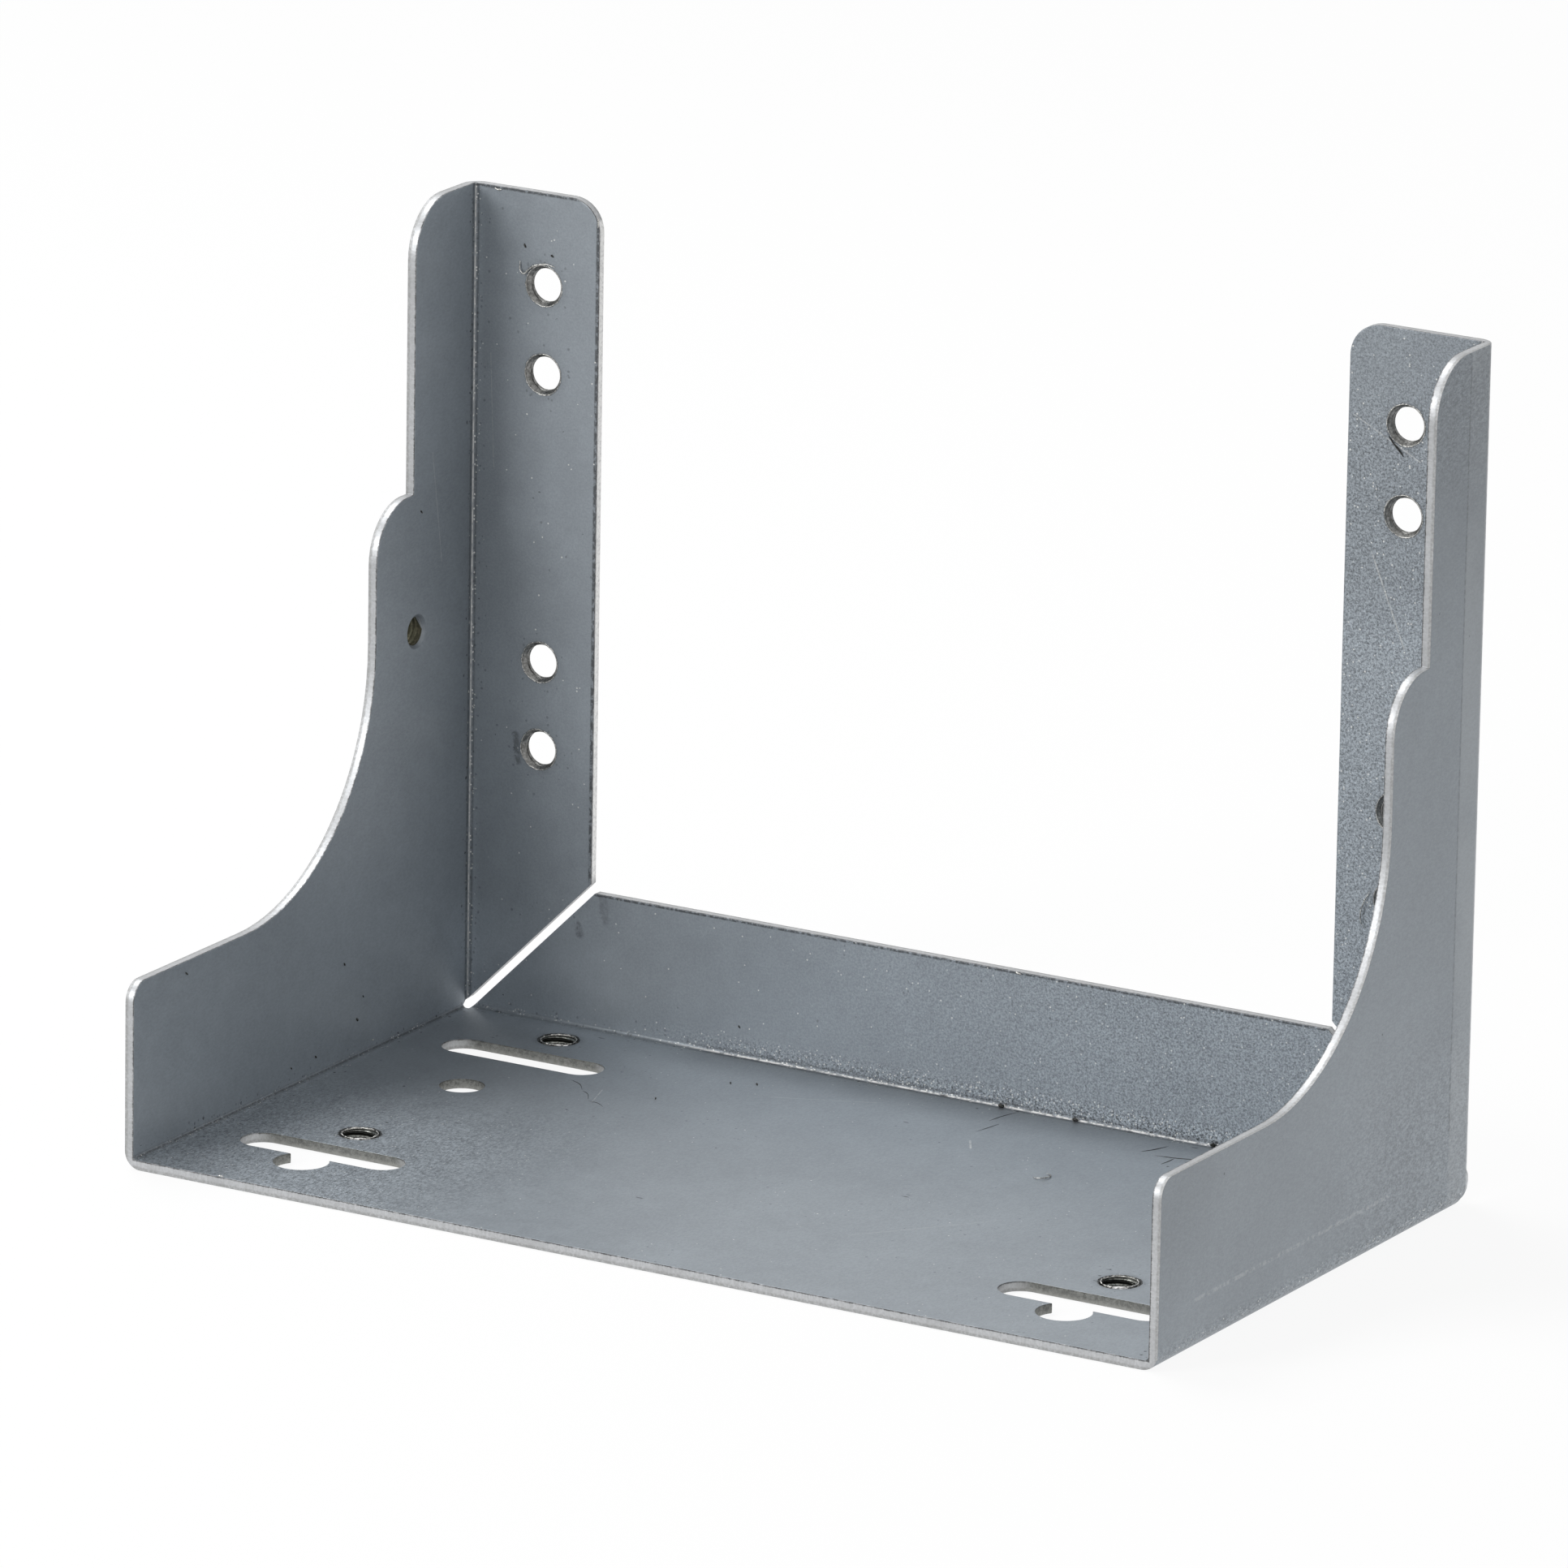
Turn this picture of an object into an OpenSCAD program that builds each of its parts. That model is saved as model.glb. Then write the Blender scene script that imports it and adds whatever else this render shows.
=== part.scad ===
// Motor mount bracket, folded from one galvanised steel sheet.
// A flat base with slots and threads, two side walls that sweep up to a post,
// a back flange folded in from each wall, and a low rear flange folded up
// from the base. The rear flange meets the back flanges in two open mitres.
// X runs across the bracket, Y from front to back and Z up, and the origin is
// the middle of the underside.

/* [Sheet] */
// Thickness of the sheet
sheet_t = 1.5; // [1:0.1:2]
// Radius inside every fold
bend_in_r = 0.6; // [0.4:0.1:1]
// Radius outside every fold, where the sheet is stretched thinner
bend_out_r = 2.6; // [2.2:0.1:3]

/* [Overall size] */
// Width over the side walls
width = 168; // [160:1:200]
// Depth from the front edge to the back face
depth = 91.5; // [88:0.5:110]
// Height to the top of the side walls
height = 126; // [120:1:150]

/* [Side walls] */
// Height of the low front stretch
front_h = 27.5; // [24:0.5:32]
// Radius of the front top corner
front_r = 3; // [1:0.5:6]
// Radius of the long sweep between the front stretch and the column
sweep_r = 34.5; // [28:0.5:38]
// Depth of the column, the wall below the step
column_d = 27.5; // [26:0.5:32]
// Depth of the post, the wall above the step
post_d = 17.5; // [15:0.5:19]
// Height of the step
step_h = 82.7; // [76:0.1:90]
// Radius of the step's shoulder and of the top corner
shoulder_r = 8.5; // [5:0.5:9.5]

/* [Back and rear flanges] */
// Width of each back flange, over the fold
back_flange_w = 22.5; // [20:0.5:28]
// Radius of a back flange's free top corner
back_corner_r = 4.8; // [2:0.1:8]
// Height of the rear flange, over the fold
rear_flange_h = 22.2; // [18:0.1:26]
// Gap of the mitre between the rear flange and a back flange
mitre_gap = 1.4; // [0.8:0.1:2]

/* [Corner reliefs] */
// Radius of the round relief where the three folds meet
relief_r = 2.7; // [2.3:0.1:3]
// Distance of the relief's centre in from the outer faces
relief_inset = 0.4; // [0:0.1:0.6]
// Corner radius of the ear, the patch of wall that stays flat by the relief
ear_r = 2.3; // [1.8:0.1:2.6]
// Distance of the ear's edge from the back face
ear_setback = 1.4; // [1.2:0.1:1.8]
// Height of the ear's lower edge
ear_foot = 1.6; // [1.2:0.1:2]

/* [Base holes] */
// Distance between the left and right columns of holes
column_pitch = 124.5; // [105:0.5:132]
// Distance between the front and rear slots
slot_pitch = 54.5; // [50:0.5:58]
// Distance from the front edge to the middle of the front slots
slot_front = 18.2; // [17:0.1:20]
// Length of a slot, end to end
slot_l = 26.6; // [20:0.1:30]
// Width of a slot and diameter of a plain hole, for an M6 screw
slot_w = 6.6; // [5.5:0.1:7]
// Distance from a slot back to the thread behind it
thread_offset = 10; // [9:0.1:12]
// Distance from a rear slot forward to its plain hole
plain_offset = 16.8; // [12:0.1:20]
// Distance from a front slot forward to the middle of its round notch
notch_offset = 5.7; // [5:0.1:7]
// Diameter of the round notch
notch_d = 8; // [7:0.1:9]

/* [M6 threads] */
// Bore of a thread
thread_bore = 5; // [4:0.1:5.2]
// Mouth of the lead-in that meets the inner face
thread_mouth = 6; // [5.4:0.1:6.6]
// Distance from a wall's outer face to the threads in its back flange
flange_thread_inset = 13.3; // [12:0.1:15]
// Height of the lowest thread in a back flange
flange_thread_low = 42.5; // [38:0.5:48]
// Distance between the two threads of a pair
pair_pitch = 13.2; // [10:0.1:14]
// Distance between the lower and the upper pair
group_pitch = 56.5; // [48:0.5:60]

/* [M5 thread in the left wall] */
// Bore of the thread
side_bore = 4.2; // [3:0.1:4.6]
// Mouth of the lead-in that meets the inner face
side_mouth = 5.1; // [4.8:0.1:6]
// Distance of the thread's axis from the back face
side_back = 16.5; // [13:0.5:20]
// Height of the thread's axis
side_z = 62; // [58:0.5:68]
// Outer diameter of the collar that is drawn out of the wall
collar_d = 6.4; // [6:0.1:8]
// Length of the collar past the wall's outer face
collar_h = 1.4; // [1:0.1:2]
// Radius of the fillet where the collar leaves the wall
collar_fillet_r = 0.6; // [0.3:0.1:1]
// Radius of the collar's outer rim
collar_rim_r = 0.3; // [0.1:0.1:0.5]

/* [Hidden] */
$fn = 96;
// How far a cut runs past the face it opens
over = 1;
side = width / 2;
front_y = -depth / 2;
back_y = depth / 2;
column_y = back_y - column_d;
post_y = back_y - post_d;
slot_y = front_y + slot_front;
window_x = side - back_flange_w;
mitre_l = max(back_flange_w, rear_flange_h) * sqrt(2) + mitre_gap;

// What a rounding takes off a sharp corner at the origin whose sides run
// along +X and +Y. It is also the fillet that fills such a corner.
module corner_waste(r) {
    difference() {
        translate([-over, -over])
            square(r + over);
        translate([r, r])
            circle(r);
    }
}

// An upright rectangle on the X axis with its two lower corners rounded
module round_foot(w, h, r) {
    difference() {
        translate([-w / 2, 0])
            square([w, h]);
        for (s = [0, 1])
            mirror([s, 0])
                translate([-w / 2, 0])
                    corner_waste(r);
    }
}

// A block with radius r along every edge where the sheet folds: both lower
// sides, both rear uprights and the lower rear edge
module fold_block(half_w, y0, y1, z0, z1, r) {
    intersection() {
        // section across the bracket
        translate([0, y1, z0])
            rotate([90, 0, 0])
                linear_extrude(y1 - y0)
                    round_foot(2 * half_w, z1 - z0, r);
        // plan
        translate([0, y1, z0])
            mirror([0, 1, 0])
                linear_extrude(z1 - z0)
                    round_foot(2 * half_w, y1 - y0, r);
        // side view
        translate([-half_w, 0, 0])
            rotate([90, 0, 90])
                linear_extrude(2 * half_w)
                    difference() {
                        translate([y0, z0])
                            square([y1 - y0, z1 - z0]);
                        translate([y1, z0])
                            mirror([1, 0])
                                corner_waste(r);
                    }
    }
}

// A stretch of wall from y to the back face and up to z, with its front top
// corner rounded
module wall_stretch(y, z, r) {
    difference() {
        translate([y, 0])
            square([back_y - y, z]);
        translate([y, z])
            mirror([0, 1])
                corner_waste(r);
    }
}

// Side view of the walls, with Y across and Z up
module wall_outline() {
    wall_stretch(front_y, front_h, front_r);
    wall_stretch(column_y, step_h, shoulder_r);
    wall_stretch(post_y, height, shoulder_r);
    translate([column_y, front_h])
        mirror([1, 0])
            corner_waste(sweep_r);
}

// The folded sheet before its window, mitres and holes are cut
module folded_sheet() {
    difference() {
        intersection() {
            fold_block(side, front_y, back_y, 0, height, bend_out_r);
            translate([-side, 0, 0])
                rotate([90, 0, 90])
                    linear_extrude(width)
                        wall_outline();
        }
        fold_block(side - sheet_t, front_y - over, back_y - sheet_t,
                   sheet_t, height + over, bend_in_r);
    }
}

// The opening between the back flanges and above the rear flange
module rear_window() {
    rise = height + over;
    shelf_x = side - rear_flange_h;
    translate([0, back_y + over, 0])
        rotate([90, 0, 0])
            linear_extrude(sheet_t + 2 * over) {
                polygon([
                    [-window_x, rise], [-window_x, back_flange_w],
                    [-shelf_x, rear_flange_h], [shelf_x, rear_flange_h],
                    [window_x, back_flange_w], [window_x, rise]
                ]);
                for (s = [0, 1])
                    mirror([s, 0])
                        translate([window_x, height])
                            mirror([0, 1])
                                corner_waste(back_corner_r);
            }
}

// The mitre at the left rear corner, and the relief that it runs into. The
// relief is round in the flat sheet, so its folded form is a ball's cut.
module corner_mitre() {
    translate([-side, back_y - bend_out_r, 0])
        rotate([0, -45, 0])
            translate([0, 0, -mitre_gap / 2])
                cube([mitre_l, bend_out_r + over, mitre_gap]);
    translate([-side + relief_inset, back_y - relief_inset, relief_inset])
        sphere(relief_r);
}

// The ear beside the relief, in the plane of the left wall
module corner_ear() {
    translate([-side, back_y - ear_setback - ear_r, ear_foot + ear_r])
        rotate([0, 90, 0])
            cylinder(h = sheet_t, r = ear_r);
}

// A slot along X through the base, with its middle at the origin
module slot() {
    translate([0, 0, -over])
        linear_extrude(sheet_t + 2 * over) {
            square([slot_l - slot_w, slot_w], center = true);
            for (s = [-1, 1])
                translate([s * (slot_l - slot_w) / 2, 0])
                    circle(d = slot_w);
        }
}

// A round hole through the base
module base_hole(d) {
    translate([0, 0, -over])
        cylinder(h = sheet_t + 2 * over, d = d);
}

// A thread's bore down from a face at the origin, with a conical lead-in
module thread_hole(bore, mouth, length) {
    lead = (mouth - bore) / 2;
    translate([0, 0, -length - over])
        cylinder(h = length + 2 * over, d = bore);
    translate([0, 0, -lead])
        cylinder(h = lead, d1 = bore, d2 = mouth);
    cylinder(h = over, d = mouth);
}

// Slots, notches, plain holes and threads in the base
module base_holes() {
    for (x = [-column_pitch / 2, column_pitch / 2]) {
        for (row = [0, 1])
            translate([x, slot_y + row * slot_pitch, 0]) {
                slot();
                translate([0, thread_offset, sheet_t])
                    thread_hole(thread_bore, thread_mouth, sheet_t);
            }
        translate([x, slot_y + slot_pitch - plain_offset, 0])
            base_hole(slot_w);
        translate([x, slot_y - notch_offset, 0])
            base_hole(notch_d);
    }
}

// Two pairs of threads in each back flange
module flange_threads() {
    for (s = [-1, 1])
        for (group = [0, 1])
            for (k = [0, 1])
                translate([s * (side - flange_thread_inset), back_y - sheet_t,
                           flange_thread_low + group * group_pitch + k * pair_pitch])
                    rotate([90, 0, 0])
                        thread_hole(thread_bore, thread_mouth, sheet_t);
}

// The left wall's thread, cut from the inner face
module side_thread() {
    translate([-side + sheet_t, back_y - side_back, side_z])
        rotate([0, 90, 0])
            thread_hole(side_bore, side_mouth, sheet_t + collar_h);
}

// The collar that gives the left wall's thread its length
module side_collar() {
    translate([-side, back_y - side_back, side_z])
        rotate([0, -90, 0])
            rotate_extrude()
                difference() {
                    union() {
                        translate([0, -over])
                            square([collar_d / 2, collar_h + over]);
                        translate([collar_d / 2, 0])
                            corner_waste(collar_fillet_r);
                    }
                    translate([collar_d / 2, collar_h])
                        rotate(180)
                            corner_waste(collar_rim_r);
                }
}

module bracket() {
    color([0.60, 0.61, 0.63]) {
        difference() {
            union() {
                folded_sheet();
                side_collar();
            }
            rear_window();
            for (s = [0, 1])
                mirror([s, 0, 0])
                    corner_mitre();
            base_holes();
            flange_threads();
            side_thread();
        }
        for (s = [0, 1])
            mirror([s, 0, 0])
                corner_ear();
    }
}

bracket();
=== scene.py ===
import math
import random
from collections import namedtuple

import bmesh
import bpy
from mathutils import Matrix, Vector


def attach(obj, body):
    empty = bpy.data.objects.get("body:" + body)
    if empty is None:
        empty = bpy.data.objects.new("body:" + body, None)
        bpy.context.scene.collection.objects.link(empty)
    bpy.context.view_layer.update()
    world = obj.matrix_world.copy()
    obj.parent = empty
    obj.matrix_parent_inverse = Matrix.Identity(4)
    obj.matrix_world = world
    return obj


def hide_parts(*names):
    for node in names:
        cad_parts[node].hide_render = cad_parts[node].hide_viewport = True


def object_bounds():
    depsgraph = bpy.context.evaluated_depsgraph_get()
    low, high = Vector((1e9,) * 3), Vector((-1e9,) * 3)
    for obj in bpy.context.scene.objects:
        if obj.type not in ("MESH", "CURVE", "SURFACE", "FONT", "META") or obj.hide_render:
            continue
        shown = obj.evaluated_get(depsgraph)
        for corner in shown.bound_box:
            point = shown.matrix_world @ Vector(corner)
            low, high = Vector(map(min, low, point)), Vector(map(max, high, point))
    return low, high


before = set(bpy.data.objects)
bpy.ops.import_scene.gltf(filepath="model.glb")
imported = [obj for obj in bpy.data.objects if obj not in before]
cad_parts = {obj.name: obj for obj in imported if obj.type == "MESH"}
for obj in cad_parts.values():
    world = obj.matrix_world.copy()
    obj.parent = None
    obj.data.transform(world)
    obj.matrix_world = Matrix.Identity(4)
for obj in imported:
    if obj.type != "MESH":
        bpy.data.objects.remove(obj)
cad_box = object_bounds()

MM = 0.001

# Sizes of the part, in millimetres, as its source has them
SIDE = 84.0
BACK = 45.75
SHEET = 1.5
COLUMN_X = 62.25
SLOT_Y = (-27.55, 26.95)
THREAD_OFFSET = 10.0
BASE_THREAD_Y = tuple(y + THREAD_OFFSET for y in SLOT_Y)
FLANGE_X = 70.7
FLANGE_Z = (42.5, 55.7, 99.0, 112.2)
SIDE_THREAD_Y = 29.25
SIDE_THREAD_Z = 62.0
COLLAR = 1.4
M6_BORE_R, M6_PITCH = 2.5, 1.0
M5_BORE_R, M5_PITCH = 2.1, 0.8
M5_LEAD_IN = 0.45

# Further off than any mark reaches, in millimetres
FAR = 99.0


# Node helpers

def node(tree, kind, sockets=None, **settings):
    """Adds a node; a socket's value is a number, a colour or another output."""
    made = tree.nodes.new(kind)
    for name, value in settings.items():
        setattr(made, name, value)
    for name, value in (sockets or {}).items():
        if isinstance(value, bpy.types.NodeSocket):
            tree.links.new(value, made.inputs[name])
        else:
            made.inputs[name].default_value = value
    return made


def calc(tree, operation, a, b=0.0, clamp=False):
    return node(tree, "ShaderNodeMath", {0: a, 1: b},
                operation=operation, use_clamp=clamp).outputs[0]


def ramp(tree, value, low, high, start=0.0, end=1.0):
    """Value from low to high becomes start to end, smoothly and clamped."""
    return node(tree, "ShaderNodeMapRange",
                {"Value": value, "From Min": low, "From Max": high,
                 "To Min": start, "To Max": end},
                interpolation_type="SMOOTHSTEP").outputs["Result"]


def blend(tree, factor, a, b, mode="MIX"):
    made = node(tree, "ShaderNodeMix", data_type="RGBA", blend_type=mode)
    for index, value in ((0, factor), (6, a), (7, b)):
        if isinstance(value, bpy.types.NodeSocket):
            tree.links.new(value, made.inputs[index])
        else:
            made.inputs[index].default_value = value
    return made.outputs[2]


def noise(tree, place, scale, detail=3.0, roughness=0.5, stretch=None):
    """Noise of about scale cells per millimetre at a place in millimetres."""
    if stretch is not None:
        place = node(tree, "ShaderNodeVectorMath", {0: place, 1: stretch},
                     operation="MULTIPLY").outputs[0]
    return node(tree, "ShaderNodeTexNoise",
                {"Vector": place, "Scale": scale, "Detail": detail,
                 "Roughness": roughness}).outputs["Fac"]


def new_material(name):
    """A material with its tree, its shader and the surface place in mm."""
    made = bpy.data.materials.new(name)
    made.use_nodes = True
    tree = made.node_tree
    shader = tree.nodes["Principled BSDF"]
    place = node(tree, "ShaderNodeTexCoord").outputs["Object"]
    place = node(tree, "ShaderNodeVectorMath", {0: place, "Scale": 1 / MM},
                 operation="SCALE").outputs[0]
    return made, tree, shader, place


def link(tree, output, socket):
    tree.links.new(output, socket)


def dress(tree, shader, colour, metallic, rough):
    link(tree, colour, shader.inputs["Base Color"])
    shader.inputs["Metallic"].default_value = metallic
    link(tree, rough, shader.inputs["Roughness"])


def emboss(tree, shader, height):
    """Bump from a height in millimetres."""
    bump = node(tree, "ShaderNodeBump",
                {"Strength": 1.0, "Distance": MM, "Height": height})
    link(tree, bump.outputs[0], shader.inputs["Normal"])


def chain(tree, operation, values):
    result = values[0]
    for value in values[1:]:
        result = calc(tree, operation, result, value)
    return result


def times(tree, *values):
    return chain(tree, "MULTIPLY", values)


def total(tree, *values):
    return chain(tree, "ADD", values)


def highest(tree, *values):
    return chain(tree, "MAXIMUM", values)


def lowest(tree, *values):
    return chain(tree, "MINIMUM", values)


def axes(tree, place):
    parts = node(tree, "ShaderNodeSeparateXYZ", {0: place}).outputs
    return parts["X"], parts["Y"], parts["Z"]


def off_nearest(tree, value, centres):
    """How far value is from the nearest of the centres."""
    return lowest(tree, *(calc(tree, "ABSOLUTE", calc(
        tree, "SUBTRACT", value, centre)) for centre in centres))


def cells(tree, place, scale, reach, share, ragged):
    """Round spots, one a cell in a share of the cells of a grid of scale per
    millimetre, each with its own radius of at most reach of a cell, with an
    outline made ragged by a noise."""
    spots = node(tree, "ShaderNodeTexVoronoi",
                 {"Vector": place, "Scale": scale, "Randomness": 1.0},
                 feature="F1").outputs
    parts = node(tree, "ShaderNodeSeparateColor", {0: spots["Color"]}).outputs
    radius = ramp(tree, parts["Green"], 0.0, 1.0, 0.25 * reach, reach)
    away = total(tree, spots["Distance"], times(
        tree, calc(tree, "SUBTRACT", ragged, 0.5), 1.1 * reach))
    inside = calc(tree, "DIVIDE", calc(tree, "SUBTRACT", radius, away),
                  0.35 * reach, clamp=True)
    chosen = calc(tree, "LESS_THAN", parts["Red"], share)
    return times(tree, inside, chosen)


def streak(tree, place, start, end, width):
    """1 along the line between two places, fading to 0 at width from it."""
    start = Vector(start)
    way = Vector(end) - start
    out = node(tree, "ShaderNodeVectorMath", {0: place, 1: start},
               operation="SUBTRACT").outputs[0]
    along = node(tree, "ShaderNodeVectorMath", {0: out, 1: way},
                 operation="DOT_PRODUCT").outputs["Value"]
    along = calc(tree, "DIVIDE", along, way.length_squared, clamp=True)
    foot = node(tree, "ShaderNodeVectorMath", {0: way, "Scale": along},
                operation="SCALE").outputs[0]
    gap = node(tree, "ShaderNodeVectorMath", {0: out, 1: foot},
               operation="DISTANCE").outputs["Value"]
    return ramp(tree, gap, 0.35 * width, width, 1.0, 0.0)


def distance(tree, p, q):
    both = node(tree, "ShaderNodeCombineXYZ", {0: p, 1: q}).outputs[0]
    return node(tree, "ShaderNodeVectorMath", {0: both},
                operation="LENGTH").outputs["Value"]


def off_threads(tree, x, along, column, rows):
    """Distance from the nearest axis of the threads that stand column off the
    middle, on both sides, in the given rows."""
    off_column = calc(tree, "SUBTRACT", calc(tree, "ABSOLUTE", x), column)
    return distance(tree, off_column, off_nearest(tree, along, rows))


def inner_faces(tree, place):
    """Distances in from the inner faces of the walls, the back and the base,
    and the depth in the sheet: 0 on its inner faces and 1.5 on the outer."""
    x, y, z = axes(tree, place)
    across = calc(tree, "SUBTRACT", SIDE - SHEET, calc(tree, "ABSOLUTE", x))
    back = calc(tree, "SUBTRACT", BACK - SHEET, y)
    up = calc(tree, "SUBTRACT", z, SHEET)
    return across, back, up, times(tree, lowest(tree, across, back, up), -1.0)


# Materials

# Pale scratches on the inner faces: start, end, width and strength
SCRATCHES = (
    ((65.8, 44.25, 93.1), (71.4, 44.25, 79.8), 0.16, 0.45),
    ((62.4, 44.25, 112.6), (73.1, 44.25, 107.2), 0.13, 0.40),
    ((-44.2, 19.5, 1.5), (-42.4, 13.6, 1.5), 0.12, 0.5),
    ((12.4, 27.6, 1.5), (14.2, 24.6, 1.5), 0.2, 0.6),
    ((-79.6, 44.25, 101.0), (-78.9, 44.25, 84.0), 0.10, 0.18),
    ((-82.5, 33.2, 88.0), (-82.5, 36.0, 71.0), 0.12, 0.35),
    ((20.0, -20.0, 1.5), (34.0, -3.0, 1.5), 0.10, 0.3),
    ((-22.0, 30.0, 1.5), (-8.0, 36.0, 1.5), 0.10, 0.3),
)

# Dark smudges: start, end, width and strength
SMUDGES = (
    ((-74.6, 44.25, 44.2), (-74.2, 44.25, 40.2), 0.75, 0.50),
    ((-63.6, 44.25, 17.0), (-63.2, 44.25, 15.6), 0.80, 0.45),
    ((-59.3, 44.25, 21.6), (-59.0, 44.25, 18.4), 1.00, 0.28),
)


def galvanised():
    made, tree, shader, place = new_material("galvanised_steel")
    x, y, z = axes(tree, place)
    across, back, up, depth = inner_faces(tree, place)
    inside = ramp(tree, depth, 0.2, 0.5, 1.0, 0.0)
    at_foot = distance(tree, across, up)
    at_back = distance(tree, across, back)
    at_rear = distance(tree, back, up)
    crease = lowest(tree, at_foot, at_back, at_rear)
    on_back = ramp(tree, back, 0.1, 0.5, 1.0, 0.0)
    on_base = ramp(tree, up, 0.1, 0.5, 1.0, 0.0)
    off_back = times(tree, calc(tree, "SUBTRACT", 1.0, on_back), FAR)
    off_base = times(tree, calc(tree, "SUBTRACT", 1.0, on_base), FAR)
    at_hole = lowest(
        tree, total(tree, off_threads(tree, x, z, FLANGE_X, FLANGE_Z), off_back),
        total(tree, off_threads(tree, x, y, COLUMN_X, BASE_THREAD_Y), off_base))

    cloud = noise(tree, place, 0.045, 2.0)
    mottle = noise(tree, place, 0.35, 4.0, 0.6)
    grain = noise(tree, place, 2.9, 3.0, 0.85, (1.0, 0.5, 1.0))
    tone = total(tree, times(tree, cloud, 0.55), times(tree, mottle, 0.45))
    colour = blend(tree, ramp(tree, tone, 0.25, 0.75),
                   (0.290, 0.319, 0.348, 1.0), (0.336, 0.370, 0.402, 1.0))

    # Painted light and shade: the lower and upper left wall and the rear left corner are
    # made paler as painted fill light; the left back flange, the rear left of the base,
    # the base as a whole, the top of the right flange and the outer right wall are made
    # darker as painted shade
    left_wall_painted_fill = times(tree, inside, ramp(tree, x, -80.5, -81.5), total(
        tree, ramp(tree, z, 30.0, 48.0, 1.0, 0.0), ramp(tree, z, 80.0, 95.0)))
    rear_corner_painted_fill = times(tree, inside, ramp(tree, x, -48.0, -66.0),
                        ramp(tree, y, 34.0, 42.0), ramp(tree, z, 22.0, 9.0))
    left_flange_painted_shade = times(tree, on_back, ramp(tree, x, -59.0, -60.0),
                        ramp(tree, z, 50.0, 70.0))
    base_rear_painted_shadow = times(tree, on_base, ramp(tree, y, 31.0, 41.0),
                      ramp(tree, x, -50.0, -38.0), ramp(tree, x, 10.0, 45.0, 1.0, 0.4))
    flange_top_painted_shade = times(tree, on_back, ramp(tree, x, 59.0, 60.0),
                       ramp(tree, z, 78.0, 92.0))
    right_wall_painted_shade = times(tree, ramp(tree, x, 82.8, 83.6), total(
        tree, 0.09, times(tree, ramp(tree, y, -14.0, -42.0),
                          ramp(tree, z, 6.0, 22.0), 0.10),
        ramp(tree, z, 80.0, 96.0, 0.0, 0.05)))
    level = total(tree, 1.0, times(tree, left_wall_painted_fill, 0.11),
                  times(tree, rear_corner_painted_fill, 0.24),
                  times(tree, left_flange_painted_shade, -0.09),
                  times(tree, base_rear_painted_shadow, -0.14),
                  times(tree, on_base, -0.04),
                  times(tree, flange_top_painted_shade, -0.16),
                  times(tree, right_wall_painted_shade, -1.0))

    # Coarse spangle: strong on the right flange, along the right of the rear
    # flange, at the front left of the base, on the underside and the outer folds
    right_flange = times(tree, on_back, ramp(tree, x, 60.5, 62.0),
                         ramp(tree, z, 108.0, 122.0, 1.0, 0.55))
    rear_flange = times(tree, on_back, ramp(tree, z, 22.0, 22.6, 1.0, 0.0),
                        ramp(tree, x, -38.0, 40.0, 0.0, 0.8))
    rear_band = times(tree, on_back, ramp(tree, z, 2.6, 5.4, 1.0, 0.0),
                      ramp(tree, x, -56.0, -30.0))
    base_left = times(tree, on_base, ramp(tree, x, -24.0, -52.0),
                      ramp(tree, y, 16.0, -22.0))
    outer_right = times(tree, ramp(tree, x, 82.8, 83.6), total(
        tree, ramp(tree, z, 100.0, 120.0, 0.0, 0.42),
        times(tree, ramp(tree, y, -6.0, 28.0), ramp(tree, z, 36.0, 12.0), 0.40)))
    outer_fold = times(tree, ramp(tree, depth, 0.9, 1.3),
                       ramp(tree, z, 1.0, 4.2, 0.75, 0.0))
    rough_part = total(tree, highest(tree, right_flange, rear_flange),
                       times(tree, base_left, 0.85),
                       rear_band, outer_right, outer_fold, 0.17)
    speckle = calc(tree, "SUBTRACT", ramp(tree, grain, 0.26, 0.74), 0.5)
    gain = times(tree, level, total(
        tree, 1.0, times(tree, speckle, rough_part, 1.08)))
    colour = node(tree, "ShaderNodeVectorMath", {0: colour, "Scale": gain},
                  operation="SCALE").outputs[0]

    # Folds: painted shade as a thin dark line at the foot of the walls, in the back
    # corners and along the left of the rear flange's fold. To the right that fold turns to
    # a painted highlight, with a painted shadow beside it. A pale line runs up each back
    # corner
    broken = noise(tree, place, 1.4, 3.0, 0.65)
    ragged = noise(tree, place, 3.6, 2.0, 0.6)
    foot_painted_shade = times(tree, inside, total(
        tree, ramp(tree, at_foot, 0.27, 0.36, 0.42, 0.0),
        ramp(tree, at_foot, 0.40, 0.70, 0.36, 0.0)))
    rear_right = ramp(tree, x, -52.0, -36.0)
    rear_fold_painted_shade = times(tree, inside, total(
        tree, ramp(tree, at_rear, 0.30, 0.44, 0.22, 0.0),
        ramp(tree, at_rear, 0.45, 0.75, 0.22, 0.0)),
        calc(tree, "SUBTRACT", 1.0, rear_right))
    rear_painted_shadow = times(tree, rear_right, ramp(tree, at_rear, 0.36, 1.2, 0.5, 0.0))
    back_shade = times(tree, inside, ramp(tree, at_back, 0.5, 0.9, 0.55, 0.0))
    fold_painted_shade = times(
        tree, highest(tree, foot_painted_shade, rear_fold_painted_shade, back_shade, rear_painted_shadow),
        ramp(tree, broken, 0.25, 0.55, 0.45, 1.0))
    colour = blend(tree, fold_painted_shade, colour, (0.032, 0.036, 0.041, 1.0))
    pale_line = times(tree, inside, ramp(tree, broken, 0.32, 0.58, 0.2, 0.9),
                      ramp(tree, at_back, 0.25, 0.31, 1.0, 0.0))
    colour = blend(tree, pale_line, colour, (0.56, 0.56, 0.55, 1.0))
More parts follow.
